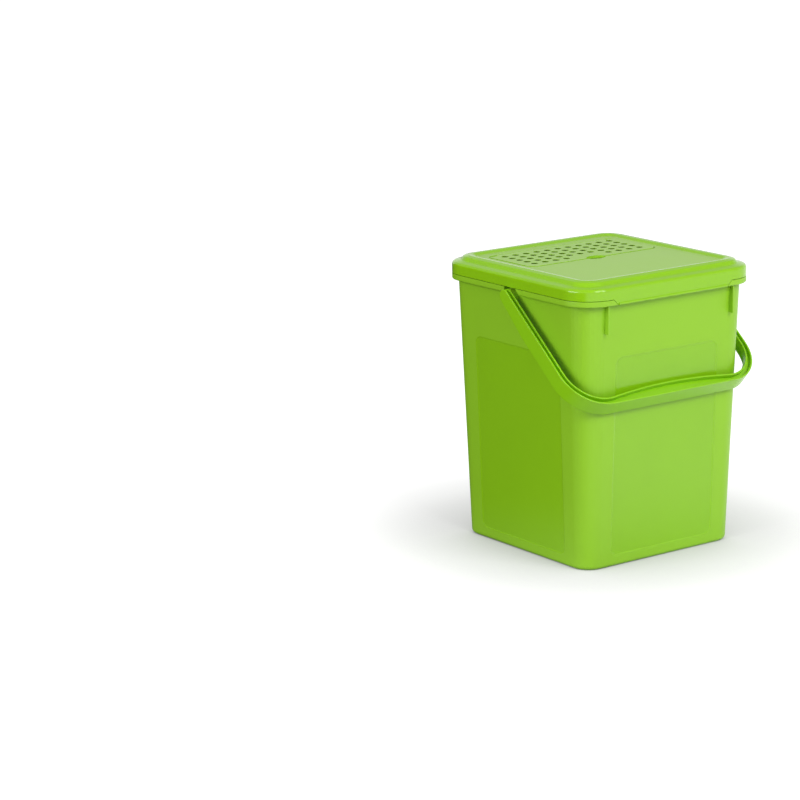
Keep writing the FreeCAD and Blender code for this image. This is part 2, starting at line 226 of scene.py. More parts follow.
def finishPiece(piece, node, body, material, sharp=32):
    # merges near points, more gently where that would open an edge, then scales to metres,
    # shades and hands the piece to its body
    for reach in meshForm["mergeReaches"]:
        bm = bmesh.new()
        bm.from_mesh(piece.data)
        bmesh.ops.remove_doubles(bm, verts=bm.verts, dist=reach)
        bmesh.ops.dissolve_degenerate(bm, edges=bm.edges, dist=reach)
        openEdges = sum(not edge.is_manifold for edge in bm.edges)
        if not openEdges:
            break
    bmesh.ops.scale(bm, vec=(mm, mm, mm), verts=bm.verts)
    bm.to_mesh(piece.data)
    bm.free()
    piece.data.shade_smooth()
    piece.data.set_sharp_from_angle(angle=math.radians(sharp))
    even = piece.modifiers.new("evenShading", "WEIGHTED_NORMAL")
    even.keep_sharp = True
    even.weight = meshForm["evenWeight"]
    piece.data.materials.clear()
    piece.data.materials.append(material)
    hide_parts(node)
    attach(piece, body)
    print("piece %s: %d faces, %d open edges" % (piece.name, len(piece.data.polygons), openEdges))


# materials

class Wire:
    # a node socket that takes part in arithmetic
    def __init__(self, shader, socket):
        self.shader = shader
        self.socket = socket

    def __add__(self, other):
        return self.shader.math("ADD", self, other)

    def __radd__(self, other):
        return self.shader.math("ADD", other, self)

    def __sub__(self, other):
        return self.shader.math("SUBTRACT", self, other)

    def __rsub__(self, other):
        return self.shader.math("SUBTRACT", other, self)

    def __mul__(self, other):
        return self.shader.math("MULTIPLY", self, other)

    def __rmul__(self, other):
        return self.shader.math("MULTIPLY", other, self)


class Shader:
    # node tree of one material, or of the world
    def __init__(self, tree):
        self.tree = tree
        tree.nodes.clear()

    def node(self, kind, settings=None, values=None, output=0):
        made = self.tree.nodes.new(kind)
        for name, value in (settings or {}).items():
            setattr(made, name, value)
        for name, value in (values or {}).items():
            if isinstance(value, Wire):
                self.tree.links.new(value.socket, made.inputs[name])
            else:
                made.inputs[name].default_value = value
        return Wire(self, made.outputs[output]) if made.outputs else made

    def math(self, operation, first, second=0.0):
        return self.node("ShaderNodeMath", {"operation": operation}, {0: first, 1: second})

    def softStep(self, value, low, high):
        # 0 below low, 1 above high, soft between
        ramp = {"interpolation_type": "SMOOTHSTEP"}
        return self.node("ShaderNodeMapRange", ramp, {"Value": value, "From Min": low, "From Max": high})

    def mixColour(self, factor, first, second):
        # sockets 6 and 7 and output 2 are the ones for colours
        return self.node("ShaderNodeMix", {"data_type": "RGBA"}, {0: factor, 6: first, 7: second}, output=2)

    def place(self):
        return self.node("ShaderNodeTexCoord", output="Object")

    def axes(self, place):
        first = self.node("ShaderNodeSeparateXYZ", None, {"Vector": place})
        return [Wire(self, socket) for socket in first.socket.node.outputs]

    def noise(self, place, size, detail):
        return self.node("ShaderNodeTexNoise", None, {"Vector": place, "Scale": 1 / size, "Detail": detail})

    def bump(self, height, strength):
        return self.node("ShaderNodeBump", None, {"Height": height, "Strength": strength, "Distance": 1.0})

    def skin(self, values):
        surface = self.node("ShaderNodeBsdfPrincipled", None, values)
        self.surface(surface)

    def surface(self, surface):
        self.node("ShaderNodeOutputMaterial", None, {"Surface": surface})


def newShader(name):
    material = bpy.data.materials.new(name)
    material.use_nodes = True
    return material, Shader(material.node_tree)


wallPlastic = {
    "colour": (0.262, 0.542, 0.012, 1), "rough": 0.44,
    # the panels' colour is darker in red and blue as painted shade for their weaker reflection
    "patchPaintedReflectionColour": (0.243, 0.522, 0.005, 1), "patchRough": 0.22,
}
lidPlastic = {
    "colour": (0.254, 0.545, 0.004, 1), "rough": 0.15,
    # the flat top's colour is lighter in red and blue as a painted reflection of the white sky
    "patchPaintedReflectionColour": (0.280, 0.546, 0.020, 1), "patchRough": 0.36,
}
handlePlastic = {"colour": (0.254, 0.572, 0.004, 1), "rough": 0.26}
skinForm = {
    "deeper": 0.96, "ior": 1.49, "bump": 0.35,
    "grainSize": 0.0006, "grainDetail": 2.0, "grainRough": 0.04, "grainHeight": 0.00002,
    "waveSize": 0.035, "waveDetail": 3.0, "waveRough": 0.03, "waveHeight": 0.0003,
}


def makeLime(name, settings, patch=None):
    # the patch is a function that gives 1 where the skin has its other gloss and its other tone; that tone
    # is painted reflection, a colour lighter or darker than the rest for the stronger or weaker sheen there
    form = skinForm
    material, shader = newShader(name)
    place = shader.place()
    wave = shader.noise(place, form["waveSize"], form["waveDetail"])
    grain = shader.noise(place, form["grainSize"], form["grainDetail"])
    shade = form["deeper"] + 2 * (1 - form["deeper"]) * wave
    rough = settings["rough"] + form["grainRough"] * (grain - 0.5) + form["waveRough"] * (wave - 0.5)
    colour = settings["colour"]
    if patch:
        inside = patch(shader, place)
        rough = rough + (settings["patchRough"] - settings["rough"]) * inside
        # painted reflection: inside the patch the colour is swapped for one that stands in for more or less
        # sheen
        colour = shader.mixColour(inside, colour, settings["patchPaintedReflectionColour"])
    colour = shader.mixColour(shade, (0, 0, 0, 1), colour)
    bump = shader.bump(form["grainHeight"] * grain + form["waveHeight"] * wave, form["bump"])
    shader.skin({"Base Color": colour, "Roughness": rough, "Normal": bump, "IOR": form["ior"]})
    return material


def roundedMask(shader, across, along, half, corner, soft=0.4):
    # 1 inside a rectangle with rounded corners, given by two distances from its middle
    outside = []
    for distance, reach in ((across, half[0]), (along, half[1])):
        spare = shader.math("ABSOLUTE", distance) - (reach - corner) * mm
        outside.append(shader.math("MAXIMUM", spare))
    away = shader.math("SQRT", outside[0] * outside[0] + outside[1] * outside[1])
    return 1 - shader.softStep(away, (corner - soft) * mm, (corner + soft) * mm)


# bucket

bucketForm = {
    "rimHalf": 102.3, "taper": 9.4, "rimCorner": 24.4, "baseCorner": 18.5,
    "rimZ": 254.6, "flangeTop": 260.05, "lipTop": 264.05,
    "wall": 2.2, "floorTop": 3.7, "baseRound": 4.0, "floorRound": 3.0, "footInset": 12.0, "footLift": 1.2,
    "lipRound": 0.7, "bandWall": 2.0, "bandRound": 1.0, "flangeRound": 0.4,
    "panelHalf": 63.2, "panelBottom": 10.6, "panelTop": 203.1, "panelCorner": 8.0,
    "panelDepth": 0.4, "panelSlope": 1.6, "panelSteps": 6,
    "ribX": 77.0, "ribThickness": 1.6, "ribLength": 27.0, "ribRound": 0.5,
    "frontHalf": 72.9, "slotFront": 14.0, "slotRear": 8.0, "slotRoot": 0.3, "gap": 0.4,
    "bossRadius": 5.6, "bossFace": 108.4, "bossRound": 0.5, "boreRadius": 2.55, "boreDepth": 5.8,
    "hingeX": 50.0, "hingeLength": 24.0,
    "earThickness": 3.0, "earRadius": 3.6, "earBore": 1.95, "earRoot": 1.6, "earDrop": 0.3,
    "reliefDrop": 20.0, "reliefTrim": 0.2,
}
lidHalf = nodeBox("lid")[1].x
lidCorner = bucketForm["rimCorner"] + lidHalf - bucketForm["rimHalf"]
wallSlope = bucketForm["taper"] / bucketForm["rimZ"]


def wallHalf(z):
    return bucketForm["rimHalf"] - bucketForm["taper"] + wallSlope * z


def wallCorner(z):
    form = bucketForm
    return form["baseCorner"] + (form["rimCorner"] - form["baseCorner"]) * z / form["rimZ"]


def wallPlate(bm, inset, z):
    return squarePlate(bm, wallHalf(z) - inset, wallCorner(z) - inset, z)


def wallPanels(shader, place):
    # mask of the shallow panels of the four walls, where the colour is a painted shade: darker red and blue
    # for their weaker reflection
    form = bucketForm
    x, y, z = shader.axes(place)
    across = shader.math("MINIMUM", shader.math("ABSOLUTE", x), shader.math("ABSOLUTE", y))
    middle = (form["panelTop"] + form["panelBottom"]) / 2
    half = (form["panelHalf"], (form["panelTop"] - form["panelBottom"]) / 2)
    return roundedMask(shader, across, z - middle * mm, half, form["panelCorner"])


def sinkPanel(bm, wall):
    # replaces a flat wall by the same wall with a shallow panel that has soft edges
    form = bucketForm
    out = Vector((wall.normal.x, wall.normal.y, 0)).normalized()
    along = out.cross(up)
    low, high = form["panelBottom"], form["panelTop"]
    corners = []
    for side, z in ((-1, low), (1, low), (1, high), (-1, high)):
        spot = along * side * form["panelHalf"] + out * wallHalf(z) + Vector((0, 0, z))
        corners.append(bm.verts.new(spot))
    old = set(bm.faces)
    bm.faces.new(corners)
    bevel(bm, corners, form["panelCorner"], segments=6, affect="VERTICES")
    panel = newFace(bm, old)
    edges = list(wall.edges) + list(panel.edges)
    facing = wall.normal.copy()
    bmesh.ops.delete(bm, geom=[wall], context="FACES_ONLY")
    bmesh.ops.triangle_fill(bm, use_beauty=True, edges=edges, normal=facing)
    steps = form["panelSteps"]
    sunk = 0.0
    for step in range(steps):
        depth = form["panelDepth"] * (1 - math.cos(math.pi * (step + 1) / steps)) / 2
        draw(bm, panel, form["panelSlope"] / steps, sunk - depth, facing)
        sunk = depth


def bucketBody():
    form = bucketForm
    bm = bmesh.new()
    plates = [wallPlate(bm, 0, 0), wallPlate(bm, 0, form["lipTop"]),
              wallPlate(bm, form["wall"], form["lipTop"]), wallPlate(bm, form["wall"], form["floorTop"])]
    rings = [list(face.edges) for face in plates]
    bmesh.ops.delete(bm, geom=plates[1:3], context="FACES_ONLY")
    for lower, upper in zip(rings, rings[1:]):
        bmesh.ops.bridge_loops(bm, edges=lower + upper)
    outward(bm)
    base = plates[0]
    draw(bm, base, form["footInset"], 0)
    draw(bm, base, form["footLift"], form["footLift"])
    roundOver(bm, rings[0], form["baseRound"], segments=6)
    roundOver(bm, rings[3], form["floorRound"], segments=4)
    for ring in rings[1:3]:
        roundOver(bm, ring, form["lipRound"], segments=2)
    bm.normal_update()

    # the four outer walls are the largest flat faces that look outward
    middle = Vector((0, 0, form["rimZ"] / 2))
    faces = [face for face in bm.faces if face.normal.dot(face.calc_center_median() - middle) > 0
             and abs(face.normal.z) < math.sin(2 * wallSlope)]
    walls = sorted(faces, key=lambda face: face.calc_area())[-4:]
    for wall in walls:
        sinkPanel(bm, wall)
    outward(bm)
    print("bucket walls with panels:", len(walls))
    return bm


def bucketRim():
    # flat flange with a down-turned band, open underneath
    form = bucketForm
    bm = bmesh.new()
    low = squarePlate(bm, lidHalf, lidCorner, form["rimZ"])
    top = raised(bm, low, form["flangeTop"] - form["rimZ"])
    inner = wallHalf(form["rimZ"]) - form["wall"] / 2
    outerLow = list(low.edges)
    outerTop = list(top.edges)
    innerLow = draw(bm, low, form["bandWall"], 0)
    low = extrude(bm, [low], (0, 0, form["flangeTop"] - form["bandWall"] - form["rimZ"]))[0]
    draw(bm, low, lidHalf - form["bandWall"] - inner, 0)
    draw(bm, top, lidHalf - inner, 0)
    joinHoles(bm, low, top)
    roundOver(bm, outerLow, form["bandRound"])
    roundOver(bm, innerLow, form["bandRound"] / 2, segments=2)
    roundOver(bm, outerTop, form["flangeRound"], segments=2)
    return bm


def rimCutters():
    # the band makes way for the lid's lifting lip, the handle's ends and the lid's knuckles
    form = bucketForm
    top = form["flangeTop"] + past
    low = form["rimZ"] - past
    wide = form["frontHalf"] + past
    narrow = form["frontHalf"] - (form["flangeTop"] - form["rimZ"]) - past
    front = -lidHalf - 2 * past
    lip = prism([(-wide, front, top), (wide, front, top), (narrow, front, low), (-narrow, front, low)],
                (0, 2 * past + form["bandWall"] + form["gap"], 0))
    slotX = wallHalf(form["rimZ"]) - form["slotRoot"]
    slotLow = -form["slotFront"] - past
    slot = prism([(slotX, slotLow, low), (slotX, form["slotRear"], low),
                  (slotX, form["slotRear"], top), (slotX, slotLow + top - low, top)],
                 (lidHalf + clear - slotX, 0, 0))
    half = form["hingeLength"] / 2 + form["gap"]
    knuckle = block((form["hingeX"] - half, lidHalf - form["bandWall"] - form["gap"], low),
                    (form["hingeX"] + half, lidHalf + clear, top))
    return [lip] + bothSides(slot) + bothSides(knuckle)


def hingeEars():
    # an ear at each end of the lid's knuckle
    form = bucketForm
    hinge = axisOf["lid_hinge"]
    radius = form["earRadius"]
    thickness = form["earThickness"]
    root = lidHalf - form["earRoot"]
    ears = []
    for end in (-1, 1):
        x = form["hingeX"] + end * (form["hingeLength"] / 2 + form["gap"] + thickness / 2) - thickness / 2
        ears.append(prism([(x, root, form["rimZ"]), (x, hinge.y, hinge.z - radius),
                           (x, hinge.y, hinge.z + radius), (x, root, form["flangeTop"] - form["earDrop"])],
                          (thickness, 0, 0)))
        ears.append(rod(radius, x, x + thickness, hinge.y, hinge.z))
    return ears


def makeBucket():
    form = bucketForm
    wall = form["wall"]
    outer = wallHalf(form["rimZ"])
    pivot = axisOf["handle_swing"]
    hinge = axisOf["lid_hinge"]
    piece = asObject(bucketRim(), "bucket_shell")
    combine(piece, rimCutters(), "DIFFERENCE")

    # the gussets end inside the wall
    ribLow = form["rimZ"] - form["ribLength"]
    ribTop = form["flangeTop"] - form["bandWall"] / 2
    ribHalf = form["ribThickness"] / 2
    rib = block((form["ribX"] - ribHalf, form["bandWall"] - lidHalf, ribLow),
                (form["ribX"] + ribHalf, wall / 3 - wallHalf(ribLow), ribTop), form["ribRound"])
    boss = rod(form["bossRadius"], outer - wall / 2, form["bossFace"], pivot.y, pivot.z, form["bossRound"])
    shapes = [bucketBody()]
    for shape in [rib, boss] + hingeEars():
        shapes += bothSides(shape)
    combine(piece, shapes, "UNION")

    # bores for the pins, and a shallow relief inside the side walls behind the bosses
    face = form["bossFace"]
    bore = rod(form["boreRadius"], face - form["boreDepth"], face + clear, pivot.y, pivot.z)
    x, length = form["hingeX"], form["hingeLength"]
    earBore = rod(form["earBore"], x - length, x + length, hinge.y, hinge.z)
    relief = block((wall - outer, -outer / 2, form["rimZ"] - form["reliefDrop"]),
                   (outer - wall - form["reliefTrim"], outer / 2, form["lipTop"] + clear))
    combine(piece, bothSides(bore) + bothSides(earBore) + [relief], "DIFFERENCE")
    lime = makeLime("limeWall", wallPlastic, wallPanels)
    finishPiece(piece, "bucket", "bucket", lime)


# filter hatch

hatchForm = {
    "corner": 10.0, "gap": 0.85, "thickness": 2.2, "proud": 0.35, "edgeRound": 0.25,
    "barrel": 1.7, "barrelRound": 0.2, "pin": 1.0, "pinLength": 1.3, "pinPlay": 0.05, "play": 0.3,
    "columns": 11, "rows": 5, "pitchX": 13.1, "pitchY": 11.3, "frontGap": 12.3,
    "leftOut": 3,               # holes that make way for the notch in the front row
    "holeRadius": 3.5, "holeLip": 0.35, "holeBelow": 4.9,
    "notchHalf": 11.0, "notchReach": 6.8, "notchCut": 20.0,
}
hatchLow, hatchHigh = nodeBox("filter_hatch")


def hatchPlate(bm, grow, z):
    return plate(bm, (hatchLow.x - grow, hatchLow.y - grow), (hatchHigh.x + grow, hatchHigh.y + grow),
                 hatchForm["corner"] + grow, z, segments=8)


def hatchBlock(grow, low, high):
    bm = bmesh.new()
    raised(bm, hatchPlate(bm, grow, low), high - low)
    return bm


def hatchPinEnd():
    # the pins reach a little into the lid beside the hatch's rounded rear corners
    form = hatchForm
    rise = axisOf["hatch_hinge"].y - (hatchHigh.y - form["corner"])
    side = math.sqrt((form["corner"] + form["gap"]) ** 2 - rise ** 2)
    return hatchHigh.x - form["corner"] + side + form["pinLength"]


def holeCutter(x, y):
    # round hole with a thin lip at the top and a wider bore below it
    form = hatchForm
    bm = bmesh.new()
    bmesh.ops.create_circle(bm, cap_ends=True, segments=28, radius=form["holeBelow"],
                            matrix=Matrix.Translation((x, y, panelZ - form["thickness"] - 2 * past)))
    bore = form["thickness"] + form["proud"] + 2 * past - form["holeLip"]
    top = extrude(bm, bm.faces[:], (0, 0, bore))[0]
    draw(bm, top, form["holeBelow"] - form["holeRadius"], 0)
    raised(bm, top, form["holeLip"] + 2 * past)
    return bm


def ventHoles():
    form = hatchForm
    holes = []
    for row in range(form["rows"]):
        y = hatchLow.y + form["frontGap"] + row * form["pitchY"]
        for column in range(form["columns"]):
            place = column - (form["columns"] - 1) / 2
            if row > 0 or abs(place) > form["leftOut"] / 2:
                holes.append(holeCutter(place * form["pitchX"], y))
    return holes


def fingerNotch():
    form = hatchForm
    bm = bmesh.new()
    size = Matrix.Diagonal((form["notchHalf"], form["notchReach"], 1, 1))
    bmesh.ops.create_cone(bm, cap_ends=True, segments=48, radius1=1, radius2=1, depth=form["notchCut"],
                          matrix=Matrix.Translation((0, hatchLow.y, panelZ)) @ size)
    return bm


def makeHatch(material):
    form = hatchForm
    axis = axisOf["hatch_hinge"]
    bm = bmesh.new()
    low = hatchPlate(bm, 0, panelZ - form["thickness"])
    top = raised(bm, low, form["thickness"] + form["proud"])
    roundOver(bm, list(top.edges), form["edgeRound"])
    piece = asObject(bm, "filter_hatch_plate")

    # the plate ends on its hinge line, with a barrel along it and a pin at each end
    barrelHalf = hatchHigh.x - form["corner"] - form["gap"]
    behind = block((-beyond, axis.y, 0), (beyond, beyond, 2 * beyond))
    beside = block((barrelHalf, axis.y - 2 * form["barrel"], 0), (beyond, beyond, 2 * beyond))
    combine(piece, [behind] + bothSides(beside) + [fingerNotch()], "DIFFERENCE")
    combine(piece, ventHoles(), "DIFFERENCE")
    barrel = rod(form["barrel"], -barrelHalf, barrelHalf, axis.y, axis.z, form["barrelRound"], segments=28)
    pin = rod(form["pin"], -hatchPinEnd(), hatchPinEnd(), axis.y, axis.z, form["barrelRound"], segments=20)
    combine(piece, [barrel, pin], "UNION")
    finishPiece(piece, "filter_hatch", "hatch", material)


# lid

lidForm = {
    "seam": 260.2, "gap": 0.4, "wall": 1.8,
    # inset from the side and height over the seam of each step, then the rounds between them
    "ledge": (8.6, 12.7), "ledgeFall": 1.9, "riser": (11.0, 15.9), "crest": (16.0, 17.0),
    "brow": (19.2, 16.7), "panel": (23.5, 15.0), "rounds": (3.2, 1.5, 2.3, 2.6, 2.6, 2.0),
    "lipHalf": 72.5, "lipDrop": 5.6, "lipRound": 0.3, "bead": 1.35, "beadInset": 0.3, "beadRound": 0.4,
    "guideHalf": 98.55, "guideCorner": 20.5, "guideWall": 1.6, "guideLow": 1.4, "guideHigh": 13.9,
    "knuckleRise": 8.0, "knuckleRadius": 3.4, "knuckleRound": 0.3, "pinRadius": 1.9, "pinLength": 2.8,
    "seatDrop": 2.5, "seatWidth": 3.0, "seatThickness": 2.4, "edgeRound": 0.25, "edgeSteps": 3,
    "trayWall": 2.0, "trayDepth": 12.5, "trayRound": 0.6, "overlap": 0.5,
    "slotWidth": 6.0, "slotPitch": 11.5, "slotFlat": 0.05, "scoopDepth": 3.0,
}
panelZ = lidForm["seam"] + lidForm["panel"][1]
seatZ = panelZ - lidForm["seatDrop"]
trayZ = panelZ - lidForm["trayDepth"]


def lidPanel(shader, place):
    # mask of the flat top inside the crest, where the colour is a painted reflection: lighter red and blue
    # for the pale sheen of the sky
    x, y = shader.axes(place)[:2]
    inset = lidForm["panel"][0] - lidForm["rounds"][-1] / 2
    return roundedMask(shader, x, y, (lidHalf - inset, lidHalf - inset), lidCorner - inset)


def lidShell():
    form = lidForm
    bm = bmesh.new()
    face = squarePlate(bm, lidHalf, lidCorner, form["seam"] + form["gap"], segments=14)
    shoulder = form["ledge"][1] - form["ledgeFall"]
    top = extrude(bm, [face], (0, 0, shoulder - form["gap"]))[0]
    bmesh.ops.delete(bm, geom=[face], context="FACES_ONLY")
    outward(bm)
    rings = [list(top.edges)]
    inset, height = 0.0, shoulder
    for key in ("ledge", "riser", "crest", "brow", "panel"):
        nextInset, nextHeight = form[key]
        rings.append(draw(bm, top, nextInset - inset, nextHeight - height))
        inset, height = nextInset, nextHeight
    for ring, radius in zip(rings, form["rounds"]):
        roundOver(bm, ring, radius, segments=5)
    bm.normal_update()
    bmesh.ops.solidify(bm, geom=bm.faces[:], thickness=form["wall"])
    outward(bm)
    return bm


def lidGuide():
    # thin rib that drops inside the bucket's upstand
    form = lidForm
    bm = bmesh.new()
    low = squarePlate(bm, form["guideHalf"], form["guideCorner"], form["seam"] + form["guideLow"])
    top = raised(bm, low, form["guideHigh"] - form["guideLow"])
    draw(bm, low, form["guideWall"], 0)
    draw(bm, top, form["guideWall"], 0)
    joinHoles(bm, low, top)
    return bm


def liftingLip():
    # lip with 45 degree ends and a rolled lower edge
    form = lidForm
    front = -lidHalf
    low = form["seam"] - form["lipDrop"]
    top = form["seam"] + form["wall"]
    narrow = form["lipHalf"] - form["lipDrop"]
    wide = narrow + top - low
    lip = prism([(-narrow, front, low), (narrow, front, low), (wide, front, top), (-wide, front, top)],
                (0, form["wall"], 0))
    softenCorners(lip, form["lipRound"])
    bead = rod(form["bead"], -narrow, narrow, front + form["beadInset"], low + form["bead"],
               form["beadRound"], segments=28)
    return [lip, bead]


def lidKnuckle():
    # knuckle with a pin at each end
    form = lidForm
    hinge = axisOf["lid_hinge"]
    seam = form["seam"]
    radius = form["knuckleRadius"]
    x0 = bucketForm["hingeX"] - bucketForm["hingeLength"] / 2
    x1 = bucketForm["hingeX"] + bucketForm["hingeLength"] / 2
    skirt = lidHalf - form["wall"] / 2
    arm = prism([(x0, skirt, seam + 2 * form["gap"]), (x0, skirt, seam + form["knuckleRise"]),
                 (x0, hinge.y, seam + form["knuckleRise"] / 2), (x0, hinge.y + radius, hinge.z),
                 (x0, hinge.y - radius, hinge.z)], (x1 - x0, 0, 0))
    barrel = rod(radius, x0, x1, hinge.y, hinge.z, form["knuckleRound"])
    pin = rod(form["pinRadius"], x0 - form["pinLength"], x1 + form["pinLength"], hinge.y, hinge.z,
              form["knuckleRound"])
    return [arm, barrel, pin]


def dish(grow):
    # flattened ball round the middle of the hatch's front edge
    bm = bmesh.new()
    size = Matrix.Diagonal((hatchForm["notchHalf"] + grow, hatchForm["notchReach"] + grow,
                            lidForm["scoopDepth"] + grow, 1))
    bmesh.ops.create_uvsphere(bm, u_segments=40, v_segments=20, radius=1,
                              matrix=Matrix.Translation((0, hatchLow.y, panelZ)) @ size)
    return bm


def scoopBowl():
    # the part of the wider ball that lies under the top
    bm = dish(lidForm["trayWall"])
    bmesh.ops.bisect_plane(bm, geom=bm.verts[:] + bm.edges[:] + bm.faces[:], plane_no=up,
                           plane_co=(0, 0, panelZ - lidForm["overlap"]), clear_outer=True)
    bmesh.ops.holes_fill(bm, edges=bm.edges[:], sides=0)
    return bm


def flare(bm, face, grow, climb):
    # lifts a copy of a face and widens it by the same amount all round
    top = extrude(bm, [face], (0, 0, climb))[0]
    centreX = hatchHigh.x - hatchForm["corner"]
    centreY = (hatchHigh.y - hatchLow.y) / 2 - hatchForm["corner"]
    middle = Vector((0, (hatchLow.y + hatchHigh.y) / 2, 0))
    for vert in top.verts:
        spot = vert.co - middle
        core = Vector((max(-centreX, min(centreX, spot.x)), max(-centreY, min(centreY, spot.y)), spot.z))
        vert.co += (spot - core).normalized() * grow
    return top


def hatchOpening():
    # the hatch's place in the top, with its edge rounded over
    form = lidForm
    radius = form["edgeRound"]
    steps = form["edgeSteps"]
    bm = bmesh.new()
    top = raised(bm, hatchPlate(bm, hatchForm["gap"], seatZ), form["seatDrop"] - radius)
    for step in range(steps):
        before = math.pi / 2 * step / steps
        turn = math.pi / 2 * (step + 1) / steps
        grow = radius * (math.cos(before) - math.cos(turn))
        climb = radius * (math.sin(turn) - math.sin(before))
        top = flare(bm, top, grow, climb)
    raised(bm, top, clear)
    return bm


def traySlots():
    form = lidForm
    width = form["slotWidth"]
    middle = (hatchLow.y + hatchHigh.y) / 2
    half = (hatchHigh.y - hatchLow.y) / 2 - form["seatWidth"] - form["trayWall"] - width
    count = int((hatchHigh.x - form["seatWidth"] - width) / form["slotPitch"])
    slots = []
    for number in range(-count, count + 1):
        slot = bmesh.new()
        x = number * form["slotPitch"]
        face = plate(slot, (x - width / 2, middle - half), (x + width / 2, middle + half),
                     width / 2 - form["slotFlat"], trayZ - form["trayWall"] - past, segments=6)
        raised(slot, face, form["trayWall"] + 2 * past)
        slots.append(slot)
    return slots


def makeLid(material):
    form = lidForm
    wall = form["trayWall"]
    gap = hatchForm["gap"]
    piece = asObject(lidShell(), "lid_shell")

    # filter tray with the hatch's seat
    seat = hatchBlock(gap + wall, seatZ - form["seatThickness"], panelZ - form["overlap"])
    tray = hatchBlock(gap - form["seatWidth"] + wall, trayZ - wall, seatZ - form["overlap"])
    softenCorners(tray, form["trayRound"])
    shapes = [lidGuide()] + liftingLip() + [seat, tray]
    for shape in lidKnuckle():
        shapes += bothSides(shape)
    combine(piece, shapes, "UNION")

    # room for the pad, the scoop, the opening, and last the hatch's hinge and the tray's slots
    hinge = axisOf["hatch_hinge"]
    barrelGap = hatchForm["barrel"] * 2 + gap
    trough = block((hatchLow.x + hatchForm["corner"], hatchHigh.y - barrelGap, panelZ - barrelGap),
                   (hatchHigh.x - hatchForm["corner"], hatchHigh.y + gap, panelZ + clear))
    boreEnd = hatchPinEnd() + hatchForm["play"]
    bore = rod(hatchForm["pin"] + hatchForm["pinPlay"], -boreEnd, boreEnd, hinge.y, hinge.z, segments=20)
    combine(piece, [hatchBlock(gap - form["seatWidth"], trayZ, panelZ + clear)], "DIFFERENCE")
    combine(piece, [scoopBowl()], "UNION")
    combine(piece, [hatchOpening(), dish(0)], "DIFFERENCE")
    combine(piece, [trough, bore] + traySlots(), "DIFFERENCE")
    finishPiece(piece, "lid", "lid", material)


# carbon filter

padForm = {
    "inset": 2.7, "edgeRound": 1.6, "crown": 0.5,
    "crownSteps": ((2.0, 0.7), (2.5, 0.3)),     # inset and share of the crown
    "dark": (0.006, 0.006, 0.006, 1), "pale": (0.035, 0.035, 0.033, 1),
    "fibre": 0.0009, "fibreDetail": 4.0, "fibreHeight": 0.0004,
    "clump": 0.006, "clumpDetail": 2.0, "clumpHeight": 0.0006,
    "bump": 0.9, "rough": 0.9, "clumpRough": 0.1, "sharp": 60,
}


def makeFleece():
    form = padForm
    material, shader = newShader("carbonFleece")
    place = shader.place()
    fibre = shader.noise(place, form["fibre"], form["fibreDetail"])
    clump = shader.noise(place, form["clump"], form["clumpDetail"])
    colour = shader.mixColour(fibre, form["dark"], form["pale"])
    bump = shader.bump(form["fibreHeight"] * fibre + form["clumpHeight"] * clump, form["bump"])
    rough = form["rough"] + form["clumpRough"] * (clump - 0.5)
    shader.skin({"Base Color": colour, "Roughness": rough, "Normal": bump})
    return material


def makePad():
    form = padForm
    low, high = nodeBox("carbon_filter")
    bm = bmesh.new()
    face = hatchPlate(bm, -form["inset"], low.z)
    top = raised(bm, face, high.z - low.z - form["crown"])
    roundOver(bm, list(top.edges), form["edgeRound"], segments=4)
    outward(bm)
    top = max(bm.faces, key=lambda item: item.calc_center_median().z)
    for inset, share in form["crownSteps"]:
        draw(bm, top, inset, form["crown"] * share)
    piece = asObject(bm, "carbon_filter_pad")
    finishPiece(piece, "carbon_filter", "lid", makeFleece(), form["sharp"])


# handle

handleForm = {
    "hang": 40.291,             # degrees below level
    "thickness": 6.6, "wall": 1.7, "reach": 143.8, "corner": 40.0,
    "gripWidth": 12.8, "gripBow": 528.0, "below": 10.0, "webLow": -0.5, "webThickness": 2.0,
    "endRadius": 6.0, "endProud": 0.12, "endRound": 0.4, "edgeRound": 0.45,
    "pinRadius": 2.5, "pinTip": 103.0, "pinRound": 0.3,
    "bendSteps": 14, "gripSteps": 28, "endSteps": (0.95, 0.72, 0.4),
    "armStep": 45.0,            # a point between on the straight arm
    "near": 0.05,               # points closer than this count as one
}


def bailChain(bm, half, middle, corner, bow):
    # one edge of the bail, flat: down one arm, round the bend, along the grip and back; bow 0 is straight
    form = handleForm

    def onward(vert, place):
        made = bmesh.ops.extrude_vert_indiv(bm, verts=[vert])["verts"][0]
        made.co = place
        return made

    def turn(vert, centre, angle, steps):
        made = bmesh.ops.spin(bm, geom=[vert], cent=centre, axis=up, angle=angle, steps=steps,
                              use_merge=False)
        return made["geom_last"][0]

    old = set(bm.edges)
    bendX = half - corner
    if bow:
        bendS = middle + bow - math.sqrt((bow + corner) ** 2 - bendX ** 2)
        lean = math.asin(bendX / (bow + corner))
    else:
        bendS = middle - corner
        lean = 0.0
    swing = math.pi / 2 + lean
    arm = [-form["endRadius"] * part for part in form["endSteps"]] + [0.0, form["armStep"], bendS]
    vert = bm.verts.new((half, -arm[0], 0))
    for s in arm[1:]:
        vert = onward(vert, (half, -s, 0))
    vert = turn(vert, (bendX, -bendS, 0), -swing, form["bendSteps"])
    if bow:
        vert = turn(vert, (0, -middle - bow, 0), 2 * lean, form["gripSteps"])
    else:
        for step in range(form["gripSteps"]):
            vert = onward(vert, (bendX * (1 - 2 * (step + 1) / form["gripSteps"]), -middle, 0))
    vert = turn(vert, (-bendX, -bendS, 0), -swing, form["bendSteps"])
    for s in arm[-2::-1]:
        vert = onward(vert, (-half, -s, 0))
    return [edge for edge in bm.edges if edge not in old]


